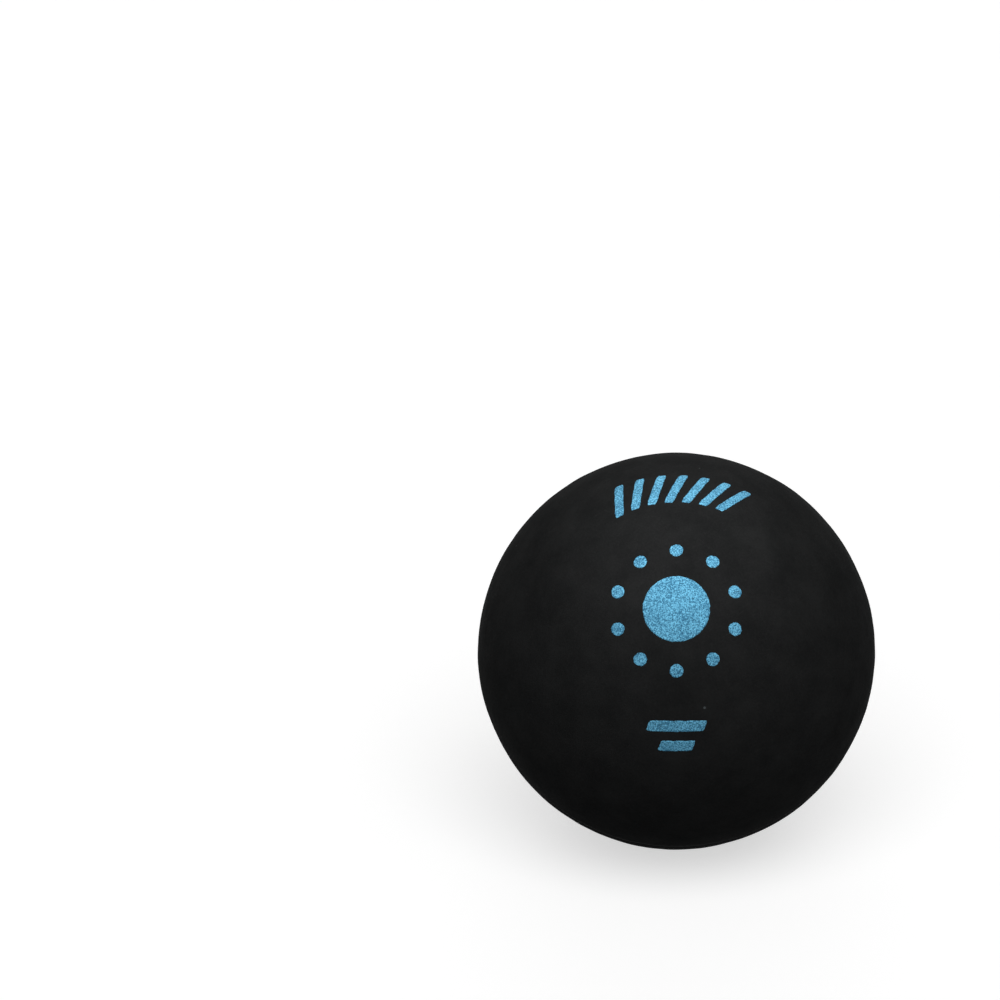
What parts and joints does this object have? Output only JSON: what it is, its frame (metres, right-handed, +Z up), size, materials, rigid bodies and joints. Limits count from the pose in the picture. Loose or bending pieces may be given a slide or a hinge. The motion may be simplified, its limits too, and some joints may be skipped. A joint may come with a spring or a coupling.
{
  "type": "squash ball",
  "caption": "Hollow black rubber squash ball in the large beginner size: matt half shells bonded with rubber cement, with a plain light blue printed mark on the crown.",
  "frame": {"origin": "centre of the ball, which is also the centre of its bounding box", "axes": "+Z up, -Y towards the viewer of the picture, +X to the viewer's right. The moulding axis runs through the print's centre and lies in the YZ plane, 36 degrees above -Y, and the seam is the great circle square to it."},
  "size_m": [0.045, 0.045, 0.045],
  "materials": {
    "black_rubber": "moulded black rubber, buffed to a fine matt skin with a soft broad sheen",
    "rubber_cement": "cured black rubber cement, buffed dull, a hair lower than the skin",
    "blue_ink": "thin light blue printing ink with fine dark speckle where the rubber's grain shows through"
  },
  "bodies": {
    "root": {"printed_half_shell": "black_rubber", "plain_half_shell": "black_rubber", "seam_cement": "rubber_cement", "printed_speed_dot": "blue_ink", "printed_dot_ring": "blue_ink", "printed_bar_arc": "blue_ink", "printed_base_bars": "blue_ink"}
  },
  "joints": []
}
